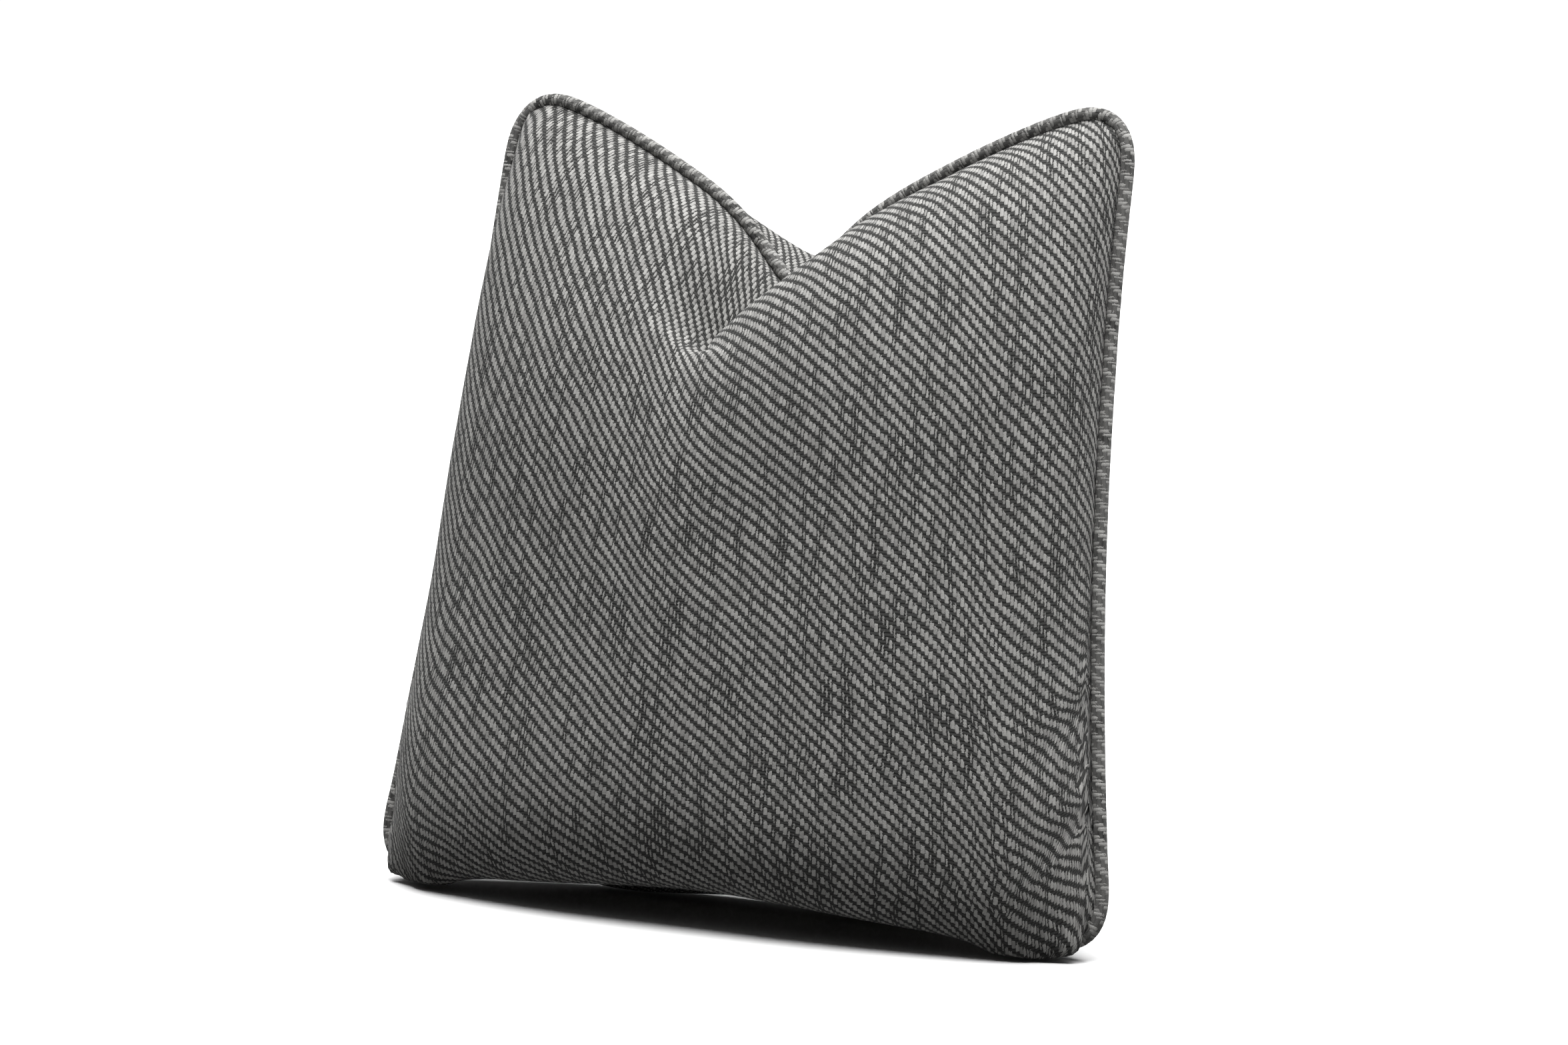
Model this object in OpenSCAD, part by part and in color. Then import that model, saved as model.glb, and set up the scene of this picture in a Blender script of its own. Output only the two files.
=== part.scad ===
// Square throw pillow: a piped, knife-edge cover of tweed over a stuffed insert.
// It stands leaning back, on its two bottom corners and on both ends of the back of its
// base, with a chop in the middle of its top edge.  A concealed zip runs along the
// bottom seam.
//
// Panel coordinates: every panel is a grid in (s, t), both from -1 to 1, where s runs
// from the left side to the right side and t from the bottom seam to the top seam.
// Pillow coordinates (u, w, v) are across, towards the back, and up the seam plane.
// They become the part's own frame when the pillow is leaned back by lean_angle.

/* [Cover] */
// Half width of the seam line at the bottom
bottom_half = 242; // [228:1:248]
// Half width of the seam line at the top
top_half = 206; // [195:1:230]
// How far the side seams pull in at mid height
side_pull = 9; // [0:1:14]
// Radius of the cover's corners at the seam
corner_r = 28; // [20:1:40]
// Height of the top seam at the two ears
ear_height = 494; // [475:1:500]
// Depth of the front panel's crown
front_depth = 80; // [60:1:90]
// Depth of the back panel's crown
back_depth = 84; // [60:1:90]
// How far the panels bulge sideways past the side seams
side_bulge = 9; // [0:1:14]
// How far the whole pillow bows forward at mid height
forward_bow = 8; // [0:1:12]
// Thickness of the cover's fabric
fabric_t = 1.0; // [0.8:0.1:1.2]
// Width of the seam allowance
allowance = 10; // [8:1:11]

/* [Chop and stance] */
// Depth of the wide V in the top edge
chop_depth = 96; // [60:1:110]
// Extra depth of the narrow notch at the bottom of the V
notch_depth = 20; // [0:1:24]
// Half width of the narrow notch
notch_half = 34; // [18:1:40]
// How fast the V fades down the front panel, larger is faster
front_fade = 2.4; // [2:0.1:6]
// How fast the V fades down the back panel, larger is faster
back_fade = 11; // [4:0.5:14]
// Angle the pillow leans back
lean_angle = 11; // [8:0.5:14]
// Height of the bottom seam between the corners
seam_height = 35; // [34:0.5:37]
// How far the back of the base sags to the floor
base_sag = 49; // [45:1:55]
// How far the front hangs below its seam in the middle
belly_middle = 23; // [16:1:26]
// How far the front hangs below its seam where the seam turns down
belly_end = 36; // [28:1:36]
// How far the middle of the base clears the floor
base_arch = 7; // [2:0.5:8]
// Depth of the crease at the foot of the V
crease_depth = 20; // [0:1:22]

/* [Piping] */
// Outside radius of the piping
piping_r = 4; // [3.5:0.1:4.2]
// Thickness of the piping's fabric strip
strip_t = 0.75; // [0.6:0.05:0.8]
// Width of the piping's flange
flange_w = 12; // [10:1:12]

/* [Insert] */
// Depth the insert's seam sits inside the cover's seam
insert_inset = 17; // [15:1:22]
// Thickness of the insert's fabric
insert_t = 0.6; // [0.4:0.1:0.8]
// Room between the cover and the insert
insert_gap = 1.2; // [1:0.1:3]

/* [Zip] */
// Length of the zip's coil
coil_length = 316; // [316:1:320]
// Radius of one coil
coil_r = 1.0; // [0.9:0.05:1.0]
// Room between the two coils
coil_gap = 1.2; // [1.1:0.05:1.3]
// Thickness of the zip's tapes
tape_t = 0.6; // [0.5:0.05:0.7]
// Length of the slider
slider_length = 9; // [8:0.5:10]
// Length of the pull from its pivot to its tip
pull_length = 14; // [12:0.5:15]
// Width of the pull
pull_width = 5; // [4.5:0.1:5.2]

/* [Hidden] */

// Colours
TWEED = [0.45, 0.44, 0.43];
TWEED_DARK = [0.30, 0.30, 0.29];
COTTON = [0.90, 0.88, 0.84];
FIBRE = [0.96, 0.95, 0.93];
TAPE = [0.22, 0.22, 0.22];
NYLON = [0.16, 0.16, 0.16];
METAL = [0.62, 0.62, 0.60];

// Grid of the cover's panels, and of the insert's and the filling
COVER_N = 30;
INSERT_N = 16;

// Corners of the seam line
corner_u = 205;           // where the bottom corners are lowest
corner_height = 11;       // height of the seam line there
straight_half = 165;      // the bottom seam is straight up to here
hem_half = 190;           // the zip's opening has closed by here
ear_u = 186;              // where the ears peak
chop_power = 1.3;         // bend of the V's sides
crown_power = 2.2;        // how square the crown of a panel is
row_power = 0.6;          // how closely the lower rows crowd towards the base
sag_middle = 56;          // depth at which the base sags most
sag_half = 27;            // half width of the sag
sag_full = 0.4;           // share of the crown from which the base sags in full
dip_full = 0.17;          // and from which it hangs below the zip in full
belly_fade = 0.2;         // share of the belly that is lost towards the corners
belly_start = 6;          // depth at which the front begins to hang below its seam
belly_slope = 26;         // depth from there to where it hangs lowest
belly_ease = 1.5;         // power by which that depth shrinks towards the sides
base_arch_half = 95;      // half width of the arch under the base
base_rows = 0.5;          // share of a panel's lower half that the base takes
side_power = 4;           // how near the side seams the panels bulge sideways
hem_power = 8;            // how near the zip its hem opens
crease_half = 18;         // half width of the crease
crease_inside = 12;       // inset by which it is twice as deep in the pieces inside
crease_shift = 32;        // how far chop and crease run to the left as they come forward
crease_run = 0.4;         // share of the grid's height over which they do so
crease_foot = 0.56;       // grid height at which the crease begins
crease_rise = 0.2;        // grid height over which it deepens
crease_fade = 0.12;       // and over which it fades out at the top seam
hem_dip = 11;             // how far the back of the base hangs below the zip
lean_cos = cos(lean_angle);
lean_sin = sin(lean_angle);

// Seam layers, measured from the seam plane
strip_slit = 0.05;
strip_half = strip_t + strip_slit;
strip_steps = 9;
cord_sides = 10;
cord_room = 0.4;          // room between the cord and the strip round it
layer_gap = 0.15;
panel_face = strip_half + layer_gap;

// Zip, in pillow coordinates: w towards the back, v upwards
coil_from_piping = 3;
hem_from_zip = 4.3;
tape_low = seam_height + layer_gap;
tape_top = tape_low + tape_t;
coil_v = tape_low - coil_r;
coil_w_front = piping_r + coil_from_piping;
coil_w_back = coil_w_front + 2 * coil_r + coil_gap;
zip_w = (coil_w_front + coil_w_back) / 2;
tape_half = 163;
hem_w = zip_w + hem_from_zip;
hem_flange = 3.4;
hem_corner = 2.4;         // room for the hem's sharp fold, in fabric thicknesses
tape_reach = 5;
fill_room = 5;            // insert thicknesses from its seam to the filling's edge
stop_l = 3;
stop_half = 1.1;

// Slider and pull
slider_rest_u = -150;
plate_t = 1.0;
plate_half = 3.4;
rail_t = 0.6;
rail_room = 0.4;          // between a rail and the tape over it
coil_room = 0.6;          // between the coils and the plate under them
tape_room = 0.25;         // between the tapes and the plate over them
plate_low_top = coil_v - coil_r - coil_room;
plate_high_low = tape_top + tape_room;
post_t = 0.8;
post_l = 3;
crown_half_l = 3.2;
crown_w = 1.6;
crown_open = 1.9;
crown_t = 0.8;
bar_r = 0.6;
pivot_v = plate_low_top - plate_t - crown_open / 2;
arm_w = 0.9;
eye_l = 4.2;
eye_room = 0.35;          // between the crown and each arm of the eye
eye_half = crown_w / 2 + eye_room;
arm_join = 0.2;           // how far the arms run into the tongue
pull_t = 1.2;
tip_hole_r = 0.9;
round_sides = 24;

// ---- Shape of the pillow -------------------------------------------------------

function clamp01(x) = min(1, max(0, x));
function smooth(x) = let (q = clamp01(x)) q * q * (3 - 2 * q);
function mix(a, b, q) = a + (b - a) * q;
function unit(p) = p / norm(p);

// Grid line k of n, denser near the seams
function grid_line(k, n) = sin(90 * (2 * k / n - 1));

// One coordinate of a square grid point once the square's corners are rounded
function rounded(a, b, r) =
    let (c = 1 - r)
    (abs(a) > c && abs(b) > c)
        ? let (x = (abs(a) - c) / r, y = (abs(b) - c) / r)
          sign(a) * (c + r * x * sqrt(1 - y * y / 2))
        : a;

// Half width of the seam line at grid height t
function seam_half(t) = mix(bottom_half, top_half, (t + 1) / 2) - side_pull * (1 - t * t);

// 0 where the bottom seam is straight, rising to 1 at the corners
function turned_down(u) = smooth((abs(u) - straight_half) / (corner_u - straight_half));

// Height of the bottom seam at distance u from the middle
function bottom_seam(u) = mix(seam_height, corner_height, turned_down(u));

// How far the front hangs below the bottom seam at distance u from the middle
function belly(u) =
    mix(belly_middle, belly_end, smooth(abs(u) / straight_half)) * (1 - belly_fade * turned_down(u));

// How far the chop lowers the top edge at distance u from the middle
function chop(u) =
    chop_depth * pow(max(0, 1 - abs(u) / ear_u), chop_power)
    + notch_depth * exp(-pow(u / notch_half, 2));

// How open the zip's seam is at distance u: 1 along the zip, 0 beyond it
function opened(u) = 1 - smooth((abs(u) - straight_half) / (hem_half - straight_half));

// How far the front's chop runs to the left as it comes forward, at grid height b
function drift(b) = crease_shift * smooth((1 - b) / crease_run);

// Depth of the crease at the foot of the chop, at distance u and grid height b
function crease(u, b) =
    crease_depth * exp(-abs(u + drift(b)) / crease_half)
    * smooth((b - crease_foot) / crease_rise) * smooth((1 - b) / crease_fade);

// Shares of the full crown: across the panel, up the front, and up the back, whose
// lower half is squarer because it carries the pillow's weight
function across(a) = sqrt(max(0, 1 - pow(abs(a), crown_power)));
function up_front(b) = across(b);
function up_back(b) = b > 0 ? up_front(b) : sqrt(max(0, cos(90 * b)));

// Height share of grid height b: the lower rows crowd towards the base
function height_share(b) = b > 0 ? (b + 1) / 2 : (1 - pow(sin(-90 * b), row_power)) / 2;

// 0 at the seams, 1 a little inside them and 0 again in the middle, for the side bulge
function beside(a) = let (q = pow(abs(a), side_power)) 4 * q * (1 - q);

// Point of a panel in pillow coordinates.  side is -1 for the front and 1 for the
// back, inset moves its seam inwards, depth is its crown and hem its gap at the zip.
function pillow_point(s, t, side, inset, depth, hem) =
    let (
        r = (corner_r + inset / 2) / bottom_half,
        a = rounded(s, t, r),
        b = rounded(t, s, r),
        u0 = a * (seam_half(b) - inset),
        u = u0 + sign(a) * side_bulge * beside(a) * (1 - b * b),
        h = mix((b + 1) / 2, height_share(b), across(a)),
        low = bottom_seam(u0) + inset,
        chop_u = side < 0 ? u0 + drift(b) * across(a) : u0,
        v = mix(low, ear_height - inset, h)
            - chop(chop_u) * pow(h, side < 0 ? front_fade : back_fade),
        crown = across(a) * (side < 0 ? up_front(b) : up_back(b)),
        start = panel_face + hem * opened(u0) * pow(max(0, -b), hem_power),
        w = side * (start + (depth - start) * crown) - forward_bow * (1 - b * b),
        sag = base_sag * exp(-pow((w - sag_middle) / sag_half, 2)) * smooth(crown / sag_full),
        dip = hem_dip * opened(u0) * smooth(crown / dip_full),
        slope = belly_slope * pow(across(a), belly_ease),
        hang = smooth((depth * crown - belly_start) / slope),
        low_down = smooth(-b / base_rows),
        drop = side > 0
            ? (sag + dip) * low_down * across(a)
            : belly(u0) * hang * low_down + crease(u0, b) * (1 + inset / crease_inside)
    )
    [u, w, v - drop];

// Lowest height of anything at distance u from the middle: the floor, and the arch over it
function lowest(u) = base_arch * (1 - smooth(abs(u) / base_arch_half));

// Pillow coordinates to the leaned pillow, cut off at height rest over what it rests on
function leaned(p, rest) = [
    p[0],
    p[1] * lean_cos + p[2] * lean_sin - y_middle,
    max(rest + lowest(p[0]), p[2] * lean_cos - p[1] * lean_sin)
];

// ---- Panels --------------------------------------------------------------------

function grid(n, side, inset, depth, hem) = [
    for (j = [0 : n])
        for (i = [0 : n])
            pillow_point(grid_line(i, n), grid_line(j, n), side, inset, depth, hem)
];

// Index in a grid, and the grid indices of its border, anticlockwise from low left
function at(i, j, n) = j * (n + 1) + i;
function border(n) = concat(
    [for (i = [0 : n - 1]) at(i, 0, n)],
    [for (j = [0 : n - 1]) at(n, j, n)],
    [for (i = [n : -1 : 1]) at(i, n, n)],
    [for (j = [n : -1 : 1]) at(0, j, n)]
);

// Unit normal of a grid at (i, j), from its neighbours
function grid_normal(g, i, j, n) =
    let (
        east = g[at(min(i + 1, n), j, n)],
        west = g[at(max(i - 1, 0), j, n)],
        north = g[at(i, min(j + 1, n), n)],
        south = g[at(i, max(j - 1, 0), n)]
    )
    unit(cross(east - west, north - south));

// A grid moved along its normals by distance d
function offset_grid(g, n, d) = [
    for (j = [0 : n]) for (i = [0 : n]) g[at(i, j, n)] + d * grid_normal(g, i, j, n)
];

// Triangles of a grid whose first point has index first
function grid_faces(n, first, flip) = [
    for (j = [0 : n - 1])
        for (i = [0 : n - 1])
            for (half = [0, 1])
                let (
                    a = first + at(i, j, n),
                    b = first + at(i + 1, j, n),
                    c = first + at(i + 1, j + 1, n),
                    d = first + at(i, j + 1, n),
                    tri = half == 0 ? [a, b, c] : [a, c, d]
                )
                flip ? [tri[2], tri[1], tri[0]] : tri
];

// Triangles of the band between two closed loops of point indices
function band_faces(one, two, flip) = [
    for (k = [0 : len(one) - 1])
        for (half = [0, 1])
            let (
                n = (k + 1) % len(one),
                tri = half == 0 ? [one[k], one[n], two[n]] : [one[k], two[n], two[k]]
            )
            flip ? [tri[2], tri[1], tri[0]] : tri
];

function shifted(list, by) = [for (k = list) k + by];
function counted(first, count) = [for (k = [0 : count - 1]) first + k];

// The cover's seam line in the seam plane, with the direction out of the pillow
ring_n = 4 * COVER_N;
seam_plane = [
    for (k = border(COVER_N))
        let (
            i = k % (COVER_N + 1),
            j = floor(k / (COVER_N + 1)),
            p = pillow_point(grid_line(i, COVER_N), grid_line(j, COVER_N), -1, 0, 0, 0)
        )
        [p[0], p[1] + panel_face, p[2]]
];
function seam_out(k) =
    let (along = seam_plane[(k + 1) % ring_n] - seam_plane[(k + ring_n - 1) % ring_n])
    unit([along[2], 0, -along[0]]);

// Middle of the pillow from front to back, so that the frame's origin is under it
cover_grids = concat(
    grid(COVER_N, -1, 0, front_depth, 0),
    grid(COVER_N, 1, 0, back_depth, hem_w)
);
cover_y = [for (p = cover_grids) p[1] * lean_cos + p[2] * lean_sin];
y_middle = (min(cover_y) + max(cover_y)) / 2;

// One cover panel: an outer face, an inner face, and an allowance folded in at the seam
module cover_panel(side, depth, hem) {
    n = COVER_N;
    outer = grid(n, side, 0, depth, hem);
    rim = border(n);
    points = len(outer);
    plain_inner = offset_grid(outer, n, side * fabric_t);
    // The hem beside the zip turns its allowance from upright to level
    turn = [for (k = rim) hem > 0 && k <= n ? 90 * opened(outer[k][0]) : 0];
    ring = [0 : ring_n - 1];
    into = [for (k = ring) -seam_out(k) * cos(turn[k]) + [0, sin(turn[k]), 0]];
    deep = [for (k = ring) [0, side * cos(turn[k]), 0] + seam_out(k) * sin(turn[k])];
    reach = [for (k = ring) mix(allowance, hem_flange, turn[k] / 90)];
    inner_rim = [
        for (k = ring)
            outer[rim[k]] + fabric_t * (mix(1, hem_corner, turn[k] / 90) * into[k] + deep[k])
    ];
    inner = [
        for (k = [0 : points - 1])
            let (r = search(k, rim))
            len(r) > 0 ? inner_rim[r[0]] : plain_inner[k]
    ];
    tip_face = [for (k = ring) outer[rim[k]] + reach[k] * into[k]];
    tip_deep = [for (k = ring) tip_face[k] + fabric_t * deep[k]];
    flip = side > 0;
    loop_outer = rim;
    loop_inner = shifted(rim, points);
    loop_face = counted(2 * points, ring_n);
    loop_deep = counted(2 * points + ring_n, ring_n);
    polyhedron(
        points = concat(
            [for (p = outer) leaned(p, 0)],
            [for (p = inner) leaned(p, fabric_t)],
            [for (p = tip_face) leaned(p, 0)],
            [for (p = tip_deep) leaned(p, fabric_t)]
        ),
        faces = concat(
            band_faces(loop_outer, loop_face, flip),
            band_faces(loop_face, loop_deep, flip),
            band_faces(loop_deep, loop_inner, flip),
            grid_faces(n, 0, !flip),
            grid_faces(n, points, flip)
        )
    );
}

module cover_front() {
    color(TWEED) cover_panel(-1, front_depth, 0);
}

module cover_back() {
    color(TWEED) cover_panel(1, back_depth, hem_w - panel_face);
}

// A thin panel of the insert, which has no allowance
module insert_panel(side, depth) {
    n = INSERT_N;
    outer = grid(n, side, insert_inset, depth - fabric_t - insert_gap, 0);
    inner = grid(n, side, insert_inset + insert_t, depth - fabric_t - insert_gap - insert_t, 0);
    rim = border(n);
    points = len(outer);
    rest = fabric_t + insert_gap / 2;
    flip = side > 0;
    polyhedron(
        points = concat(
            [for (p = outer) leaned(p, rest)],
            [for (p = inner) leaned(p, rest + insert_t)]
        ),
        faces = concat(
            band_faces(rim, shifted(rim, points), flip),
            grid_faces(n, 0, !flip),
            grid_faces(n, points, flip)
        )
    );
}

// The stuffing: both faces of one closed body inside the insert
module stuffing() {
    n = INSERT_N;
    room = fabric_t + insert_gap + 2 * insert_t;
    inset = insert_inset + fill_room * insert_t;
    front = grid(n, -1, inset, front_depth - room, 0);
    back = grid(n, 1, inset, back_depth - room, 0);
    rim = border(n);
    rest = fabric_t + insert_gap / 2 + 2 * insert_t;
    polyhedron(
        points = concat(
            [for (p = front) leaned(p, rest)],
            [for (p = back) leaned(p, rest)]
        ),
        faces = concat(
            band_faces(rim, shifted(rim, len(front)), false),
            grid_faces(n, 0, true),
            grid_faces(n, len(front), false)
        )
    );
}

// ---- Piping --------------------------------------------------------------------

// A closed section swept round the seam line.  Its points are [out, back, rest],
// measured from the seam line; rest is the lowest height that the point may reach.
module seam_sweep(section) {
    m = len(section);
    polyhedron(
        points = [
            for (k = [0 : ring_n - 1])
                for (q = section)
                    leaned(seam_plane[k] + q[0] * seam_out(k) + [0, q[1], 0], q[2])
        ],
        faces = [
            for (k = [0 : ring_n - 1])
                for (tri = band_faces(
                    counted(k * m, m), counted(((k + 1) % ring_n) * m, m), true
                ))
                    tri
        ]
    );
}

// Points on a circle round the piping's middle, between two angles from the out direction
function arc(radius, from, to, steps) = [
    for (k = [0 : steps])
        let (a = mix(from, to, k / steps))
        [piping_r + radius * cos(a), radius * sin(a), piping_r - radius]
];

// The fabric strip: round the cord, and down both sides of the flange
module piping_strip() {
    inner_r = piping_r - strip_t;
    outer_turn = 180 - asin(strip_half / piping_r);
    inner_turn = 180 - asin(strip_slit / inner_r);
    section = concat(
        [[-flange_w, -strip_half, 0]],
        arc(piping_r, -outer_turn, outer_turn, strip_steps),
        [[-flange_w, strip_half, 0], [-flange_w, strip_slit, 0]],
        arc(inner_r, inner_turn, -inner_turn, strip_steps),
        [[-flange_w, -strip_slit, 0]]
    );
    color(TWEED_DARK) seam_sweep(section);
}

// The cotton cord inside the strip
module piping_cord() {
    step = 360 / cord_sides;
    color(COTTON)
        seam_sweep(arc(piping_r - strip_t - cord_room, 0, 360 - step, cord_sides - 1));
}

// ---- Insert --------------------------------------------------------------------

module insert_front() {
    color(COTTON) insert_panel(-1, front_depth);
}

module insert_back() {
    color(COTTON) insert_panel(1, back_depth);
}

module filling() {
    color(FIBRE) stuffing();
}

// ---- Zip -----------------------------------------------------------------------

// Pillow coordinates (u, w, v) to the part's frame, for what is straight along the zip
module lean() {
    translate([0, -y_middle, 0]) rotate([-lean_angle, 0, 0]) children();
}

// A flat outline in (w, v), drawn out to a length along the zip
module along_zip(length) {
    translate([-length / 2, 0, 0]) rotate([90, 0, 90]) linear_extrude(length) children();
}

// A box from its lowest corner to its highest one
module box(low, high) {
    translate(low) cube(high - low);
}

module coil(w) {
    translate([0, w, coil_v]) rotate([0, 90, 0])
        cylinder(r = coil_r, h = coil_length, center = true, $fn = round_sides);
}

// A stop crimped on the coils between two depths, at one end of the zip
module stop(end, w_low, w_high) {
    u_low = end > 0 ? coil_length / 2 : -coil_length / 2 - stop_l;
    box([u_low, w_low, coil_v - stop_half], [u_low + stop_l, w_high, tape_low]);
}

// The front tape lies flat beside its coil and turns up beside the piping's flange
module zip_tape_front() {
    leg = panel_face + tape_t;
    color(TAPE) lean() along_zip(2 * tape_half)
        polygon([
            [panel_face, tape_low],
            [coil_w_front + coil_r, tape_low],
            [coil_w_front + coil_r, tape_top],
            [leg, tape_top],
            [leg, seam_height + flange_w],
            [panel_face, seam_height + flange_w]
        ]);
}

// The back tape lies flat over the back panel's hem
module zip_tape_back() {
    color(TAPE) lean() box(
        [-tape_half, coil_w_back - coil_r, tape_low],
        [tape_half, hem_w + tape_reach, tape_top]
    );
}

module zip_coil_front() {
    color(NYLON) lean() coil(coil_w_front);
}

module zip_coil_back() {
    color(NYLON) lean() coil(coil_w_back);
}

module zip_top_stops() {
    color(METAL) lean() {
        stop(-1, coil_w_front - stop_half, coil_w_front + stop_half);
        stop(-1, coil_w_back - stop_half, coil_w_back + stop_half);
    }
}

module zip_bottom_stop() {
    color(METAL) lean() stop(1, coil_w_front - stop_half, coil_w_back + stop_half);
}

// The arch under the slider that holds the pull's bar
module crown() {
    low = plate_low_top - plate_t - crown_open - crown_t;
    difference() {
        box(
            [-crown_half_l, -crown_w / 2, low],
            [crown_half_l, crown_w / 2, plate_low_top - plate_t / 2]
        );
        box(
            [-crown_half_l + crown_t, -crown_w, low + crown_t],
            [crown_half_l - crown_t, crown_w, plate_low_top - plate_t]
        );
    }
}

// Two plates joined by a post between the coils, with a rail outside each coil
module zip_slider() {
    half = slider_length / 2;
    color(METAL) lean() translate([slider_rest_u, zip_w, 0]) {
        box([-half, -plate_half, plate_low_top - plate_t], [half, plate_half, plate_low_top]);
        box([-half, -plate_half, plate_high_low], [half, plate_half, plate_high_low + plate_t]);
        box(
            [-half, -post_t / 2, plate_low_top - plate_t / 2],
            [-half + post_l, post_t / 2, plate_high_low + plate_t / 2]
        );
        for (side = [-1, 1])
            translate([0, side * (plate_half - rail_t / 2), 0])
                box(
                    [-half, -rail_t / 2, plate_low_top - plate_t / 2],
                    [half, rail_t / 2, tape_low - rail_room]
                );
        crown();
    }
}

// A flat tongue with an eye whose bar turns inside the slider's crown
module zip_pull() {
    arm_out = eye_half + arm_w;
    tip_r = pull_width / 2;
    color(METAL) lean() translate([slider_rest_u, zip_w, pivot_v]) {
        rotate([90, 0, 0]) cylinder(r = bar_r, h = 2 * arm_out, center = true, $fn = round_sides);
        for (side = [-1, 1])
            translate([0, side * (eye_half + arm_w / 2), 0])
                box([-bar_r, -arm_w / 2, -eye_l - arm_join], [bar_r, arm_w / 2, 0]);
        translate([-pull_t / 2, 0, 0]) rotate([90, 0, 90]) linear_extrude(pull_t)
            difference() {
                union() {
                    translate([-tip_r, -pull_length + tip_r])
                        square([pull_width, pull_length - tip_r - eye_l]);
                    translate([0, -pull_length + tip_r]) circle(r = tip_r, $fn = round_sides);
                }
                translate([0, -pull_length + tip_r]) circle(r = tip_hole_r, $fn = round_sides);
            }
    }
}

cover_front();
cover_back();
piping_strip();
piping_cord();
insert_front();
insert_back();
filling();
zip_tape_front();
zip_tape_back();
zip_coil_front();
zip_coil_back();
zip_top_stops();
zip_bottom_stop();
zip_slider();
zip_pull();
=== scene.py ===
"""Square throw pillow in tweed, with self piping, a chopped top edge and a hidden zip.

Everything is in metres in the CAD frame: the front panel faces -Y and Z is up.
A panel's grid runs over (s, t), both from -1 to 1: s from left to right, t from the
bottom seam to the top seam.  Pillow coordinates (u, w, v) are across, towards the
back and up the seam plane; leaned() brings them to the CAD frame.
"""
import math

import bpy
import numpy as np
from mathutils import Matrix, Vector

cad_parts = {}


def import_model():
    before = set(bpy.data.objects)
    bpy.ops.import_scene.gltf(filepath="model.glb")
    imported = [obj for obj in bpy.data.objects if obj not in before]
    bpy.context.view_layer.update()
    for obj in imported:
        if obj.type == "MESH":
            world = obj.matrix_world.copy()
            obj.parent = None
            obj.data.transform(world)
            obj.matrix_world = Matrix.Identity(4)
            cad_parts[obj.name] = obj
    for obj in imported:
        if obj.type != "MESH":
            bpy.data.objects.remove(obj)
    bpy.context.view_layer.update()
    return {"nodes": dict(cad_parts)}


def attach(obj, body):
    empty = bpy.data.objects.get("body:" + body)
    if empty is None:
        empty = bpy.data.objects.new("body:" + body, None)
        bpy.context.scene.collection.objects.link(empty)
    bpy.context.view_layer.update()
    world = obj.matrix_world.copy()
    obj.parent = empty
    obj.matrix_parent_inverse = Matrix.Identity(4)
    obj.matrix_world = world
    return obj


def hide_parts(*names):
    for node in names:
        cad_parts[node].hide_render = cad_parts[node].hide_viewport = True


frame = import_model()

MM = 0.001
rng = np.random.default_rng(seed=20)

# ---- Camera ---------------------------------------------------------------------

CAMERA_AZIMUTH = math.radians(27.07)
CAMERA_ELEVATION = math.radians(5.36)
CAMERA_ROLL = math.radians(1.36)
CAMERA_DISTANCE = 2.659
CAMERA_LENS = 101.1
CAMERA_SHIFT = (0.0095, -0.015)
CAMERA_AIM = np.array([0, 0.007, 0.25])


def add_camera():
    """The photo's view, as an azimuth, an elevation and a roll about the aim."""
    sin_a, cos_a = math.sin(CAMERA_AZIMUTH), math.cos(CAMERA_AZIMUTH)
    sin_e, cos_e = math.sin(CAMERA_ELEVATION), math.cos(CAMERA_ELEVATION)
    back = np.array([sin_a * cos_e, -cos_a * cos_e, sin_e])
    level = np.array([cos_a, sin_a, 0])
    upright = np.cross(back, level)
    right = level * math.cos(CAMERA_ROLL) + upright * math.sin(CAMERA_ROLL)
    up = upright * math.cos(CAMERA_ROLL) - level * math.sin(CAMERA_ROLL)
    camera = bpy.data.objects.new("Camera", bpy.data.cameras.new("Camera"))
    bpy.context.scene.collection.objects.link(camera)
    matrix = np.eye(4)
    matrix[:3, 0] = right
    matrix[:3, 1] = up
    matrix[:3, 2] = back
    matrix[:3, 3] = CAMERA_AIM + back * CAMERA_DISTANCE
    camera.matrix_world = matrix.T
    camera.data.lens = CAMERA_LENS
    camera.data.shift_x, camera.data.shift_y = CAMERA_SHIFT
    bpy.context.scene.camera = camera


add_camera()

# ---- Shape of the pillow, in mm -------------------------------------------------

FRONT, BACK = -1, 1
BOTTOM_HALF = 242         # half width of the seam line at the bottom
TOP_HALF = 206            # and at the top
SIDE_PULL = 9             # how far the sides pull in between their corners
CORNER_R = 28
EAR_HEIGHT = 494          # of the top seam at the ears, up the seam plane
DEPTH = {FRONT: 80, BACK: 84}         # of each panel's crown, from the seam plane
SIDE_BULGE = {FRONT: 12, BACK: 9}     # how far the cloth bulges past the side seams
FORWARD_BOW = 8           # how far the seam plane bows forward in the middle
FABRIC = 1.0              # thickness of the cover
CHOP_DEPTH = 96           # how far the chop lowers the top edge, without its notch
NOTCH_DEPTH = 20
NOTCH_HALF = 34
CHOP_FADE = {FRONT: 2.4, BACK: 11}    # how soon the chop dies out below the top edge
CHOP_POWER = 1.3          # how hollow the chop's two slopes are
CROWN_POWER = 2.2         # how square the crown of a panel is
ROW_POWER = 0.6           # how closely the lower rows crowd towards the base
EAR_U = 186               # of the ears' tops, from the middle
LEAN = math.radians(11)
SEAM_HEIGHT = 35          # of the bottom seam where it is straight
CORNER_HEIGHT = 11        # and at its corners
CORNER_U = 205            # where the bottom seam has turned down
STRAIGHT_HALF = 165       # and up to where it is straight
HEM_HALF = 190            # where the CAD's hem has closed beyond the zip
HEM_CLOSED = 174          # where the cloth's hem has closed, which is sooner
HEM_W = 12.9              # how far the hem stands behind the seam plane along the zip
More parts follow.
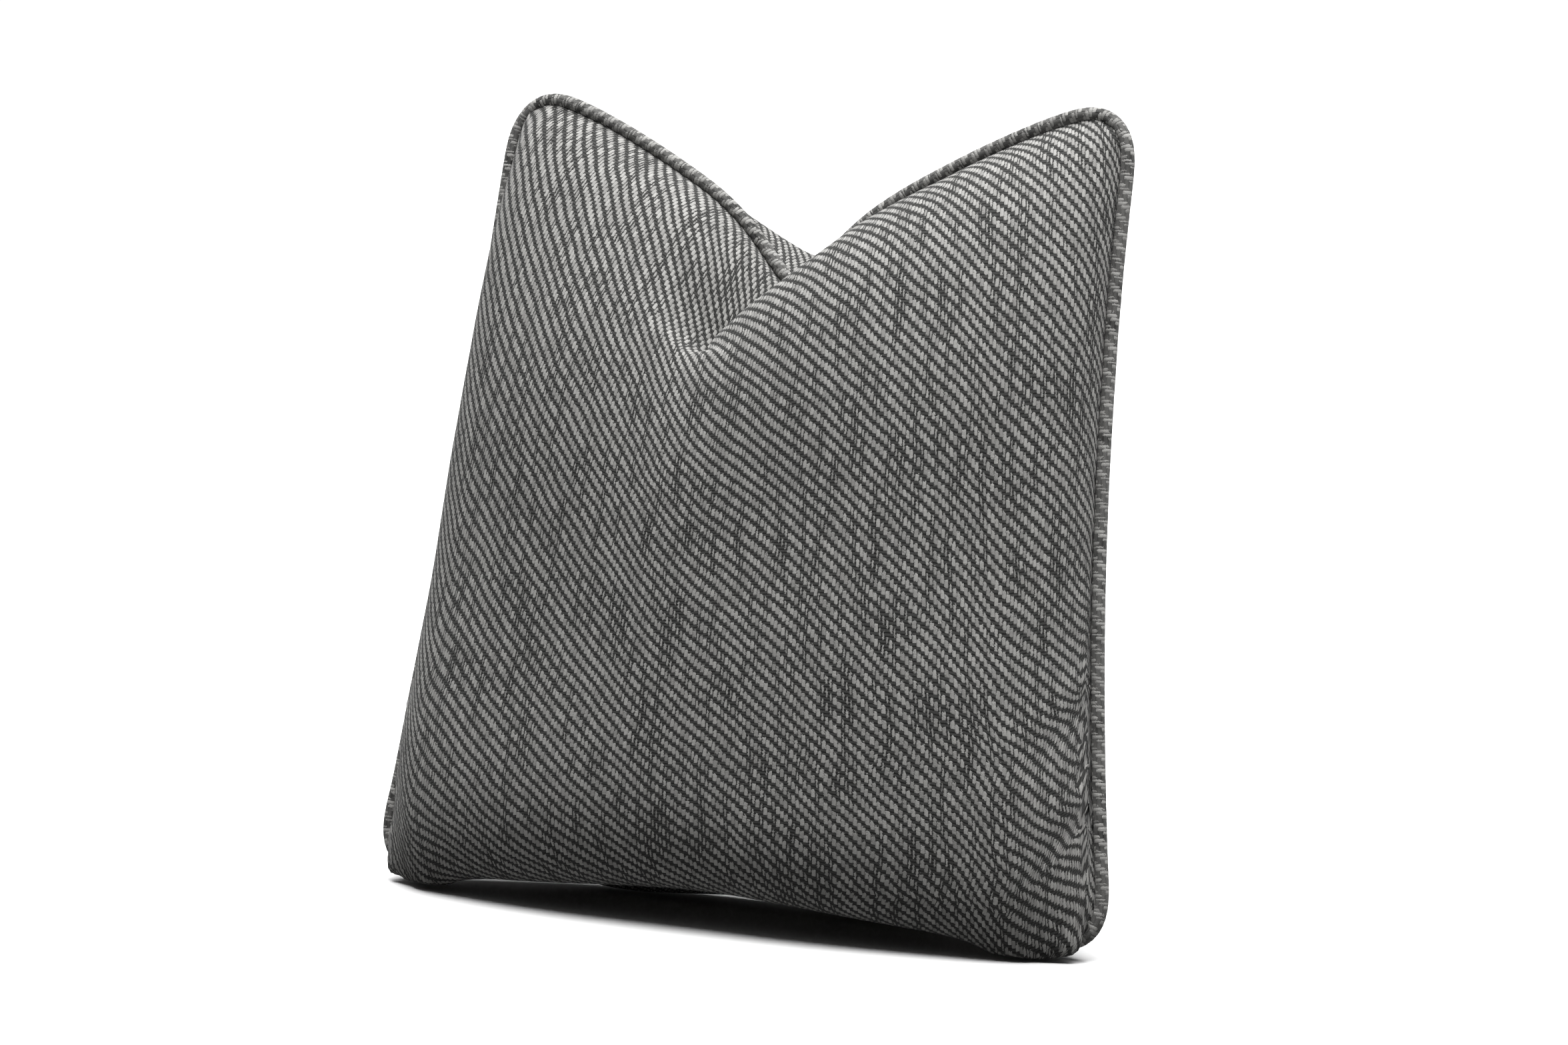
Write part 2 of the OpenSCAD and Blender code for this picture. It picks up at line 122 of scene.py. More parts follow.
HEM_DIP = 11              # how far the cloth behind the zip hangs below the hem
BASE_SAG = 49             # how far the back sags on to the floor
BELLY_MIDDLE = 23         # how far the front hangs below its seam, in the middle
BELLY_END = 36            # and where the seam begins to turn down
BELLY_FADE = 0.2          # share of it that is lost towards the corners
CORNER_FADE = 0.35        # and more of it, round the corners themselves
CORNER_RUN = 40           # distance over which that is lost
CORNER_FULL = 0.2         # how much fuller than the rest the front is at its bottom corners
CORNER_SIDE = 0.9         # share of the half width at which it is so in full
BELLY_START = 6           # depth at which the front begins to hang below its seam
BELLY_SLOPE = 26          # depth from there to where it hangs lowest
SLOPE_POWER = 1.5         # how much sooner that is beside the side seams
BASE_ARCH = 7             # how far the middle of the base clears the floor
BASE_ARCH_HALF = 95       # half width of that arch
POCKET_DEPTH = 40         # of the crease that the chop leaves in the front
POCKET_LEFT = 24          # its width on the gentle side
POCKET_RIGHT = 12         # and on the side that the cloth rolls over
POCKET_POINT = 0.4        # share of its width at the point where it begins
POCKET_BACK = 0.75        # share of its depth that dents the front backwards
POCKET_DOWN = 0.8         # and downwards
POCKET_ONSET = 0.6        # how suddenly it deepens from its foot
ROLL = 12                 # how far the cloth to the right rolls over it
ROLL_OFF = 15             # of the roll's middle from the crease
ROLL_HALF = 10            # its half width
ROLL_FORWARD = 0.3        # how far it comes forward, as a share of how far it rolls
POCKET_SHIFT = 32         # how far the crease runs to the left as it comes forward
POCKET_RUN = 0.4          # share of the grid's height over which it does so
POCKET_FOOT = 0.60        # grid height at which the crease begins
POCKET_RISE = 0.2         # grid height over which it deepens
POCKET_FADE = 0.12        # and over which it fades out at the top seam
POCKET_LOW = 0.35         # and below which it dents the front backwards as well
LIP = 6                   # how far the cloth swells over the piping at the foot of the chop
LIP_HALF = 115            # half width of that swelling
LIP_RISE = 0.14           # share of the crown at which it is highest
LIP_FALL = 0.3            # and over which it falls again
SAG_MIDDLE = 56           # distance of the deepest sag behind the seam plane
SAG_HALF = 27             # and its half width there
SAG_FULL = 0.4            # share of the crown from which the base sags in full
DIP_FULL = 0.17           # and from which it hangs below the zip in full
BASE_ROWS = 0.5           # grid height below the middle at which the base is shaped in full
SIDE_POWER = 4            # how close to the side seams the bulge is
HEM_POWER = 8             # how close to the bottom seam the hem stands off it
SEAM_POWER = 60           # how close to the seam the panels turn in to it
PIPING_R = 4
PIPING_NESTLE = 0.6       # how far the piping presses in between the panels
PIPING_PASSES = 6         # of smoothing along its path
SEAM_FACE = 0.95          # from the seam plane to a panel's outer face at the seam
Y_MIDDLE = 36.6508        # of the leaning pillow from front to back, which is the frame's Y = 0


def smooth(x):
    q = np.clip(x, 0, 1)
    return q * q * (3 - 2 * q)


def mix(a, b, q):
    return a + (b - a) * q


def rounded(a, b, r):
    """One coordinate of a square's grid point once its corners have radius r."""
    c = 1 - r
    x = np.clip((np.abs(a) - c) / r, 0, 1)
    y = np.clip((np.abs(b) - c) / r, 0, 1)
    inside = (np.abs(a) > c) & (np.abs(b) > c)
    return np.where(inside, np.sign(a) * (c + r * x * np.sqrt(1 - y * y / 2)), a)


def seam_half(t):
    """Half width of the seam line at grid height t."""
    return mix(BOTTOM_HALF, TOP_HALF, (t + 1) / 2) - SIDE_PULL * (1 - t * t)


def turned_down(u):
    """0 where the bottom seam is straight, rising to 1 at the corners."""
    return smooth((np.abs(u) - STRAIGHT_HALF) / (CORNER_U - STRAIGHT_HALF))


def bottom_seam(u):
    """Height of the bottom seam."""
    return mix(SEAM_HEIGHT, CORNER_HEIGHT, turned_down(u))


def belly(u):
    """How far the front hangs below the bottom seam."""
    hang = mix(BELLY_MIDDLE, BELLY_END, smooth(np.abs(u) / STRAIGHT_HALF))
    raised = BELLY_FADE * turned_down(u) + CORNER_FADE * smooth((np.abs(u) - EAR_U) / CORNER_RUN)
    return hang * (1 - raised)


def chop(u):
    """How far the chop lowers the top edge."""
    wide = CHOP_DEPTH * np.clip(1 - np.abs(u) / EAR_U, 0, 1) ** CHOP_POWER
    return wide + NOTCH_DEPTH * np.exp(-((u / NOTCH_HALF) ** 2))


def zip_opening(u, closed=HEM_HALF):
    """1 along the zip, 0 beyond it."""
    return 1 - smooth((np.abs(u) - STRAIGHT_HALF) / (closed - STRAIGHT_HALF))


def crown_share(a):
    """Share of a panel's full crown, across it or up it."""
    return np.sqrt(np.clip(1 - np.abs(a) ** CROWN_POWER, 0, 1))


def back_crown(b):
    """The back's share up it: its lower half is squarer, as it carries the weight."""
    low = np.sqrt(np.clip(np.cos(np.pi / 2 * b), 0, 1))
    return np.where(b > 0, crown_share(b), low)


def drift(b):
    """How far the chop runs to the left as it comes forward, at grid height b."""
    return POCKET_SHIFT * smooth((1 - b) / POCKET_RUN)


def pocket(u, b):
    """The crease at the foot of the chop: its depth, and how far the cloth rolls over it."""
    off = u + drift(b)
    rise = np.clip((b - POCKET_FOOT) / POCKET_RISE, 0, 1)
    half = np.where(off < 0, POCKET_LEFT, POCKET_RIGHT) * mix(POCKET_POINT, 1, rise)
    open_share = rise ** POCKET_ONSET * smooth((1 - b) / POCKET_FADE)
    roll = np.exp(-(((off - ROLL_OFF) / ROLL_HALF) ** 2))
    return POCKET_DEPTH * np.exp(-np.abs(off) / half) * open_share, ROLL * roll * open_share


def lip_share(u, crown):
    """1 beside the seam at the foot of the chop, where the cloth swells over the piping."""
    beside_seam = smooth(crown / LIP_RISE) * (1 - smooth((crown - LIP_RISE) / LIP_FALL))
    return beside_seam * smooth((LIP_HALF - np.abs(u)) / LIP_HALF)


def height_share(b, across):
    """Height share of grid height b: towards the middle, the lower rows crowd to the base."""
    even = (b + 1) / 2
    low = (1 - np.clip(np.sin(-np.pi / 2 * np.minimum(b, 0)), 0, 1) ** ROW_POWER) / 2
    return mix(even, np.where(b > 0, even, low), across)


def panel_crown(s, t, a, b, side, creased):
    """Share of the full crown at (a, b), which are (s, t) with the corners rounded."""
    crown = crown_share(a) * (crown_share(b) if side == FRONT else back_crown(b))
    if creased:
        crown = crown * (1 - np.maximum(np.abs(s), np.abs(t)) ** SEAM_POWER)
    if side == FRONT and creased:
        at_corner = smooth(-b / BASE_ROWS) * smooth(np.abs(a) / CORNER_SIDE)
        crown = crown ** (1 - CORNER_FULL * at_corner)
    return crown


def panel_point(s, t, side, inset=0, thinner=0, creased=True):
    """Point of a panel in pillow coordinates, in mm: of the cover, or of a smaller one inside.

    Without creased it is the plain shape, from which the grid lines are spaced evenly.
    """
    r = (CORNER_R + inset / 2) / BOTTOM_HALF
    a, b = rounded(s, t, r), rounded(t, s, r)
    q = a ** SIDE_POWER
    across = crown_share(a)
    depth = DEPTH[side] - thinner
    u0 = a * (seam_half(b) - inset)
    u = u0 + np.sign(a) * SIDE_BULGE[side] * 4 * q * (1 - q) * (1 - b ** 4)
    h = height_share(b, across)
    v = mix(bottom_seam(u0) + inset, EAR_HEIGHT - inset, h)
    chop_u = u0 + drift(b) * across if side == FRONT else u0
    v = v - chop(chop_u) * np.clip(h, 0, 1) ** CHOP_FADE[side]
    crown = panel_crown(s, t, a, b, side, creased)
    closed = HEM_CLOSED if creased else HEM_HALF
    hem = (HEM_W - SEAM_FACE) * zip_opening(u0, closed) if side == BACK and not inset else 0
    start = SEAM_FACE + hem * np.clip(-b, 0, 1) ** HEM_POWER
    w = side * (start + (depth - start) * crown) - FORWARD_BOW * (1 - b * b)
    if side == BACK:
        sag = BASE_SAG * np.exp(-(((w - SAG_MIDDLE) / SAG_HALF) ** 2)) * smooth(crown / SAG_FULL)
        dip = HEM_DIP * zip_opening(u0) * smooth(crown / DIP_FULL)
        v = v - (sag + dip) * smooth(-b / BASE_ROWS) * across
    else:
        slope = np.maximum(1, BELLY_SLOPE * across ** SLOPE_POWER)
        hang = smooth((depth * crown - BELLY_START) / slope)
        dent, roll = pocket(u0, b) if creased else (0, 0)
        u = u - roll
        w = w + POCKET_BACK * dent * smooth((1 - b) / POCKET_LOW) - ROLL_FORWARD * roll
        v = v - belly(u0) * hang * smooth(-b / BASE_ROWS) - POCKET_DOWN * dent
    if not inset:
        v = v + LIP * lip_share(u0, crown) * (b > 0)
    return np.stack([u, w, v], -1)


def leaned(p, rest=0.0):
    """Pillow coordinates in mm to the CAD frame in metres, cut off at height rest."""
    c, s = math.cos(LEAN), math.sin(LEAN)
    y = p[..., 1] * c + p[..., 2] * s - Y_MIDDLE
    floor_z = rest + BASE_ARCH * (1 - smooth(np.abs(p[..., 0]) / BASE_ARCH_HALF))
    z = np.maximum(floor_z, p[..., 2] * c - p[..., 1] * s)
    return np.stack([p[..., 0], y, z], -1) * MM


# ---- Cloth ----------------------------------------------------------------------

FLAT_SIDE = 0.500         # finished side of the flat cover
FLAT_CORNER = 0.030       # radius of its corners
CLOTH_N = 120
CLOTH_STEPS = 260
EVEN_PASSES = 6           # of spacing the grid lines evenly
HOLD = 0.02               # pull of the filling towards its own shape, per step
BEND = 0.35 / 32          # how far a step unbends the cloth
JITTER = 0.00012          # of the points before the first step
MOST_MOVE = 0.0085        # how far a point may end up from the filling's shape
SEAM_MOVE = 0.0008        # and how far on the seams
SEAM_HOLD = 0.4           # share of the crown from which a point may move in full
SPARE = 1.035             # most that the cloth is longer than the filling's shape
LUMP_WAVES = 14           # waves that make up the filling's soft lumps
LUMP_REACH = (0.09, 0.2)  # their shortest and longest wavelength
LUMP_HEIGHT = 0.0016
TUCK_DEPTH = 0.0016       # of the tucks beside the side seams
TUCK_PITCHES = (0.019, 0.027, 0.041)
TUCK_REACH = 0.16         # share of the crown over which the tucks die out
TUCK_SEAM = 0.12          # and over which they begin
TUCK_ABOVE = 0.25         # share of their depth that is left high above the corners
TUCK_LOW = 0.07           # height over which it falls to that
TINY = 1e-9               # keeps a length of 0 from dividing


def cumulative(points, axis):
    """Arc length along an axis of a grid, from 0 to 1."""
    step = np.linalg.norm(np.diff(points, axis=axis), axis=-1)
    zero = np.zeros_like(np.take(step, [0], axis))
    length = np.cumsum(np.concatenate([zero, step], axis), axis)
    return length / np.take(length, [-1], axis)


def even_parameters(side, n):
    """Grid parameters (s, t) whose rows and columns are evenly spaced on the panel."""
    k = np.linspace(-1, 1, n + 1)
    s, t = np.meshgrid(k, k, indexing="ij")
    target = (k + 1) / 2
    for _ in range(EVEN_PASSES):
        points = panel_point(s, t, side, creased=False)
        along = cumulative(points, 0)
        s = np.stack([np.interp(target, along[:, j], s[:, j]) for j in range(n + 1)], 1)
        points = panel_point(s, t, side, creased=False)
        along = cumulative(points, 1)
        t = np.stack([np.interp(target, along[i], t[i]) for i in range(n + 1)], 0)
    return s, t


def flat_grid(n):
    """The flat panel's grid, in metres."""
    k = np.linspace(-1, 1, n + 1)
    s, t = np.meshgrid(k, k, indexing="ij")
    r = FLAT_CORNER / (FLAT_SIDE / 2)
    return np.stack([rounded(s, t, r), rounded(t, s, r)], -1) * FLAT_SIDE / 2


def border(n):
    """Grid indices (i, j) of a panel's border, anticlockwise seen from the front."""
    k = np.arange(n)
    i = np.concatenate([k, np.full(n, n), n - k, np.zeros(n, int)])
    j = np.concatenate([np.zeros(n, int), k, np.full(n, n), n - k])
    return i, j


def grid_normals(x):
    """Unit normals of a panel's grid of points, towards the back."""
    return unit(np.cross(np.gradient(x, axis=1), np.gradient(x, axis=0)))


def unit(x):
    return x / np.maximum(np.linalg.norm(x, axis=-1, keepdims=True), TINY)


class Cloth:
    """The two cover panels as grids of points, held by threads of fixed length."""

    # Each kind of link: its step in i and in j, and its stiffness
    LINKS = ((1, 0, 1.0), (0, 1, 1.0), (1, 1, 0.35), (1, -1, 0.35))

    def __init__(self, shape, flat, reach):
        self.shape = shape
        self.reach = reach[..., None]
        self.x = shape.copy()
        self.links = []
        for di, dj, stiffness in self.LINKS:
            for start in self.starts(di, dj):
                a, b = self.ends(start, di, dj)
                long_flat = np.linalg.norm(flat[b[1:]] - flat[a[1:]], axis=-1)
                long_now = np.linalg.norm(shape[b] - shape[a], axis=-1)
                rest = np.minimum(long_flat, long_now * SPARE)
                self.links.append((a, b, rest, stiffness))

    def starts(self, di, dj):
        """First points of the sets of links that share no point with each other."""
        return [(i, j) for i in range(1 + di) for j in range(1 + abs(dj))]

    def ends(self, start, di, dj):
        """Slices of the points at both ends of every second link."""
        n = self.x.shape[1] - 1
        steps = [2 if di else 1, 2 if dj else 1]
        first = [slice(start[0], n + 1 - di, steps[0])]
        other = [slice(start[0] + di, n + 1, steps[0])]
        if dj >= 0:
            first.append(slice(start[1], n + 1 - dj, steps[1]))
            other.append(slice(start[1] + dj, n + 1, steps[1]))
        else:
            first.append(slice(start[1] + 1, n + 1, steps[1]))
            other.append(slice(start[1], n, steps[1]))
        return (slice(None), *first), (slice(None), *other)

    def pull_threads(self):
        for a, b, rest, stiffness in self.links:
            gap = self.x[b] - self.x[a]
            length = np.linalg.norm(gap, axis=-1)
            share = 0.5 * stiffness * (length - rest) / np.maximum(length, TINY)
            move = share[..., None] * gap
            self.x[a] += move
            self.x[b] -= move

    def unbend(self):
        """Evens out the cloth's curvature, away from its seams."""
        x = self.x
        lap = np.zeros_like(x)
        middle = (slice(None), slice(1, -1), slice(1, -1))
        lap[middle] = (
            x[:, 2:, 1:-1] + x[:, :-2, 1:-1] + x[:, 1:-1, 2:] + x[:, 1:-1, :-2] - 4 * x[middle]
        )
        twice = (
            lap[:, 2:, 1:-1] + lap[:, :-2, 1:-1] + lap[:, 1:-1, 2:] + lap[:, 1:-1, :-2]
            - 4 * lap[middle]
        )
        x[middle] -= BEND * twice

    def sew(self, gap):
        """Joins the two borders, each half a gap from the seam plane."""
        i, j = border(self.x.shape[1] - 1)
        seam = (self.x[0, i, j] + self.x[1, i, j]) / 2
        self.x[0, i, j] = seam - gap / 2
        self.x[1, i, j] = seam + gap / 2

    def cap(self):
        """Keeps each point within its reach of the filling's shape, and above the floor."""
        move = self.x - self.shape
        length = np.linalg.norm(move, axis=-1, keepdims=True)
        self.x = self.shape + move * np.minimum(1, self.reach / np.maximum(length, TINY))
        self.x[..., 2] = np.maximum(self.x[..., 2], 0)


def soft_noise(n, count, reach, seed_rng):
    """A smooth random field over a panel, about -1 to 1, from count waves."""
    k = np.linspace(0, FLAT_SIDE, n + 1)
    u, v = np.meshgrid(k, k, indexing="ij")
    total = np.zeros((n + 1, n + 1))
    for _ in range(count):
        wave = 2 * np.pi / seed_rng.uniform(*reach)
        angle, phase = seed_rng.uniform(0, 2 * np.pi, 2)
        total += np.sin(wave * (u * math.cos(angle) + v * math.sin(angle)) + phase)
    return total / math.sqrt(count / 2) / 2


def gathers(x, away, seed_rng):
    """Small tucks square to the side seams, deepest near the bottom corners."""
    height = x[..., 2]
    near_seam = np.exp(-away / TUCK_REACH) * smooth(away / TUCK_SEAM)
    low = TUCK_ABOVE + (1 - TUCK_ABOVE) * np.exp(-height / TUCK_LOW)
    wave = np.zeros_like(height)
    for pitch in TUCK_PITCHES:
        phase = seed_rng.uniform(0, 2 * np.pi, 2)
        wave += np.sin(2 * np.pi * height / pitch + np.where(x[..., 0] > 0, *phase))
    return TUCK_DEPTH * wave * near_seam * low


def relaxed_cover():
    """Both cover panels, draped over the filling's shape, how far they moved, and their (s, t)."""
    n = CLOTH_N
    sides = (FRONT, BACK)
    params = [even_parameters(side, n) for side in sides]
    shape = np.stack([leaned(panel_point(s, t, side)) for (s, t), side in zip(params, sides)])
    plain = shape.copy()
    i, j = border(n)
    gap = shape[1, i, j] - shape[0, i, j]
    away = np.stack([crown_share(s) * crown_share(t) for s, t in params])
    for k in range(2):
        lumps = soft_noise(n, LUMP_WAVES, LUMP_REACH, rng) * LUMP_HEIGHT
        tucks = gathers(shape[k], away[k], rng)
        shape[k] += grid_normals(shape[k]) * (lumps * away[k] + tucks)[..., None]
    reach = mix(SEAM_MOVE, MOST_MOVE, smooth(away / SEAM_HOLD))
    cloth = Cloth(shape, flat_grid(n), reach)
    cloth.x += rng.normal(0, JITTER, cloth.x.shape)
    for _ in range(CLOTH_STEPS):
        cloth.x += HOLD * (cloth.shape - cloth.x)
        cloth.pull_threads()
        cloth.unbend()
        cloth.sew(gap)
        cloth.cap()
    return cloth.x, cloth.x - plain, params


cover, moved_by, grid_params = relaxed_cover()

# ---- Meshes ---------------------------------------------------------------------

PICK_SETTLE = 0.045       # how far the picks lie above straight, low down at the sides


def new_object(name, vertices, faces):
    mesh = bpy.data.meshes.new(name)
    mesh.from_pydata(np.asarray(vertices).tolist(), [], [list(map(int, f)) for f in faces])
    mesh.update()
    obj = bpy.data.objects.new(name, mesh)
    bpy.context.scene.collection.objects.link(obj)
    mesh.polygons.foreach_set("use_smooth", [True] * len(mesh.polygons))
    return obj


def corner_vertices(obj):
    """The vertex of each face corner."""
    index = np.zeros(len(obj.data.loops), int)
    obj.data.loops.foreach_get("vertex_index", index)
    return index


def set_uv(obj, per_corner):
    """Gives a piece its place on the cloth, in metres, at each face corner."""
    layer = obj.data.uv_layers.new(name="weave")
    layer.data.foreach_set("uv", per_corner.ravel())


def grid_faces(n, first=0, flip=False):
    """Faces of a grid of n by n squares whose vertices begin at first."""
    k = np.arange(n)[:, None] * (n + 1) + np.arange(n)[None]
    quads = np.stack([k, k + n + 1, k + n + 2, k + 1], -1).reshape(-1, 4) + first
    return quads[:, ::-1] if flip else quads


def band_faces(one, two):
    """Faces between two closed loops of vertices."""
    return np.stack([one, np.roll(one, -1), np.roll(two, -1), two], -1)


def seam_out(loop):
    """Unit directions out of the pillow, square to a seam loop and in its plane."""
    along = np.roll(loop, -1, 0) - np.roll(loop, 1, 0)
    across = np.array([0, math.cos(LEAN), -math.sin(LEAN)])
    return unit(np.cross(across, along))


def weave_place(n):
    """Places on the cloth of a panel's grid, in metres; its picks settle at the sides."""
    place = flat_grid(n)
    edge = np.abs(place[..., 0]) / (FLAT_SIDE / 2)
    height = place[..., 1] / FLAT_SIDE + 0.5
    place[..., 1] += PICK_SETTLE * edge ** 2 * (1 - height ** 2)
    return place


def shell(name, grids, flips):
    """A closed body between two grids that share a border; flips turn each one's faces over."""
    n = grids[0].shape[0] - 1
    i, j = border(n)
    rim = i * (n + 1) + j
    count = (n + 1) ** 2
    faces = [
        grid_faces(n, 0, flips[0]),
        grid_faces(n, count, flips[1]),
        band_faces(rim + count, rim) if flips[0] else band_faces(rim, rim + count),
    ]
    vertices = np.concatenate([grid.reshape(-1, 3) for grid in grids])
    return new_object(name, vertices, np.concatenate(faces))


def cover_panel(name, side, outer):
    """A cover panel with an inner face, and its place on the weave."""
    inner = outer - side * grid_normals(outer) * FABRIC * MM
    obj = shell(name, (outer, inner), (side == BACK, side == FRONT))
    flat = weave_place(CLOTH_N).reshape(-1, 2)
    if side == BACK:
        flat = flat * [-1, 1] + [0, FLAT_SIDE]
    set_uv(obj, np.concatenate([flat, flat])[corner_vertices(obj)])
    return obj


def tube(name, path, radius, sides, out, back):
    """A closed tube along a loop; out and back are the axes of its section."""
    turn = np.linspace(0, 2 * np.pi, sides, endpoint=False)[:, None]
    points = (
        path[:, None]
        + radius * np.cos(turn) * out[:, None]
        + radius * np.sin(turn) * back[:, None]
    )
    a = np.arange(len(path))[:, None] * sides + np.arange(sides)[None]
    b = np.roll(a, -1, 0)
    faces = np.stack([a, np.roll(a, -1, 1), np.roll(b, -1, 1), b], -1).reshape(-1, 4)
    return new_object(name, points.reshape(-1, 3), faces)


def tube_uv(obj, path, radius, sides):
    """UVs in metres along and round a closed tube, kept apart where it closes."""
    step = np.linalg.norm(np.roll(path, -1, 0) - path, axis=1)
    along = np.concatenate([[0], np.cumsum(step)])
    ring, spoke = np.divmod(corner_vertices(obj).reshape(-1, 4), sides)
    # A face that closes the tube has its first ring or spoke as its last
    ring = np.where((ring == 0) & (ring.max(1, keepdims=True) > 1), len(path), ring)
    spoke = np.where((spoke == 0) & (spoke.max(1, keepdims=True) > 1), sides, spoke)
    set_uv(obj, np.stack([along[ring], spoke / sides * 2 * np.pi * radius], -1))


# ---- Materials ------------------------------------------------------------------


class Nodes:
    """Builds a material's node tree from short calls."""

    def __init__(self, name):
        self.material = bpy.data.materials.new(name)
        self.material.use_nodes = True
        self.tree = self.material.node_tree
        self.shader = self.tree.nodes["Principled BSDF"]

    def node(self, kind, inputs=(), **values):
        """A new node: what feeds each of its sockets, and its settings."""
        made = self.tree.nodes.new(kind)
        for key, value in values.items():
            setattr(made, key, value)
        for key, value in dict(inputs).items():
            self.feed(made.inputs[key], value)
        return made

    def feed(self, socket, value):
        if isinstance(value, bpy.types.NodeSocket):
            self.tree.links.new(value, socket)
        else:
            socket.default_value = value

    def math(self, operation, *values):
        return self.node("ShaderNodeMath", enumerate(values), operation=operation).outputs[0]

    def vector(self, operation, *values):
        return self.node("ShaderNodeVectorMath", enumerate(values), operation=operation).outputs[0]

    def combine(self, x, y):
        return self.node("ShaderNodeCombineXYZ", {"X": x, "Y": y}).outputs[0]

    def axes(self, vector, names):
        """The named coordinates of a vector."""
        outputs = self.node("ShaderNodeSeparateXYZ", {0: vector}).outputs
        return [outputs[name] for name in names]

    def place(self):
        """The point's own coordinates on the object, in metres."""
        return self.node("ShaderNodeTexCoord").outputs["Object"]

    def noise(self, vector, scale, detail, output="Fac"):
        sockets = {"Vector": vector, "Scale": scale, "Detail": detail}
        return self.node("ShaderNodeTexNoise", sockets).outputs[output]

    def uneven(self, noise, by):
        """Noise brought to either side of 0 and multiplied."""
        return self.math("MULTIPLY", self.math("SUBTRACT", noise, 0.5), by)

    def ramp(self, value, low, high, first=0.0, last=1.0):
        """Goes smoothly from first to last as the value goes from low to high."""
        sockets = enumerate((value, low, high, first, last))
        return self.node("ShaderNodeMapRange", sockets, interpolation_type="SMOOTHSTEP").outputs[0]

    def blend(self, share, one, two):
        sockets = {"Factor": share, "A": one, "B": two}
        return self.node("ShaderNodeMix", sockets, data_type="RGBA").outputs["Result"]

    def scaled(self, colour, by):
        sockets = {0: colour, "Scale": by}
        return self.node("ShaderNodeVectorMath", sockets, operation="SCALE").outputs[0]

    def finish(self, colour, roughness, height=None, depth=0.0, **constants):
        """Feeds the shader; constants are its other sockets, with _ for a space."""
        self.feed(self.shader.inputs["Base Color"], colour)
        self.feed(self.shader.inputs["Roughness"], roughness)
        for key, value in constants.items():
            self.shader.inputs[key.replace("_", " ")].default_value = value
        if height is not None:
            bump = self.node("ShaderNodeBump", {"Height": height, "Distance": depth})
            self.feed(self.shader.inputs["Normal"], bump.outputs[0])
        return self.material


MOST_NOISE = (0.3, 0.7)   # between these lies nearly all of a noise

# The tweed's yarns, in metres.  Noise scales are per metre.
WARP_PITCH = 0.00212
PICK_PITCH = 0.00190
PIPING_PICKS = 2 * math.pi * PIPING_R * MM / 8   # so that two repeats go round the piping
REPEAT = 4.0              # picks in the twill's repeat: the warp is on top of two of them
LIGHT_YARN = (0.37, 0.365, 0.352)
DARK_YARN = (0.028, 0.028, 0.027)
WANDER_SCALE = 35.0       # of how the yarns wander off straight
WANDER = 0.0035           # and how far they do
RAGGED_SCALE = 800.0      # of the floats' uneven ends
RAGGED = 2.2              # and how uneven they are, in picks
SLUB_STEP = 13.7          # keeps one warp yarn's thick and thin places from the next one's
SLUB_SCALE = 24.0         # of the thick and thin places along a warp yarn
SLUB_RANGE = (0.33, 0.52) # noise at which a yarn is thinnest and thickest
YARN_HALF = (0.22, 0.58)  # its half width there, in pitches
FUZZ_SCALE = 1100.0       # of the warp's hairy sides
FUZZ = 0.9                # and how hairy they are, in pitches
FLOAT_FLAT = 0.72         # half length of a float's full part, in picks
FLOAT_END = 0.6           # and the length of its rounded end
FIBRE_SCALE = 2600.0      # of the fibres in a yarn
FIBRE_RELIEF = 0.35       # how much they add to the height
FIBRE_PALE = 0.9          # and to the pale yarn's colour
FIBRE_DARK = 1.6          # and to the dark yarn's
DARK_LEAST = 0.2          # share of the dark yarn's colour that is always there
FLOAT_SHADES = (0.80, 1.12)       # between the darkest and the palest float
FLOAT_RISE = (0.1, 0.9)   # height at which the painted shade on a float's rounded sides is deepest and gone
# painted shade: a float is painted darker down its rounded sides
FLOAT_SIDE_SHADE = (0.7, 1.0)
FLOAT_EDGE = (-0.05, 0.22)        # how softly a float's edge gives way to the picks
PICK_ROUND = 4.4          # how round a pick is
PICK_HEIGHT = 0.55        # of a pick, where a warp float is 1
PICK_RISE = (0.25, 0.55)  # height at which a pick is painted darkest, and brightest with its painted glint
# painted highlight: a pick is painted up to twice as bright along its crown
PICK_GLINT = (0.7, 2.0)
TWEED_RELIEF = 0.00055
PATCH_SCALE = 60.0        # of the faded patches
PATCH_RANGE = (0.3, 0.55) # noise at which they begin and are full
PATCH_LEAST = 0.2         # share of the fading that is everywhere
PATCH_SHADES = (0.5, 0.9)


def wandered(n, uv):
    """The place on the weave, once the yarns wander off straight."""
    colour = n.noise(uv, WANDER_SCALE, 1.0, "Color")
    off = n.vector("SUBTRACT", colour, (0.5, 0.5, 0.5))
    return n.vector("MULTIPLY_ADD", off, (WANDER, WANDER, 0), uv)


def from_middle(n, pitches):
    """Distance from the middle of the yarn that a point is on, in pitches."""
    return n.math("SUBTRACT", n.math("FRACT", pitches), 0.5)


def squared(n, value):
    return n.math("MULTIPLY", value, value)


def dome(n, value):
    """The height of a round yarn, from 1 less the square of the distance to its middle."""
    return n.math("SQRT", n.math("MAXIMUM", value, 0.0))


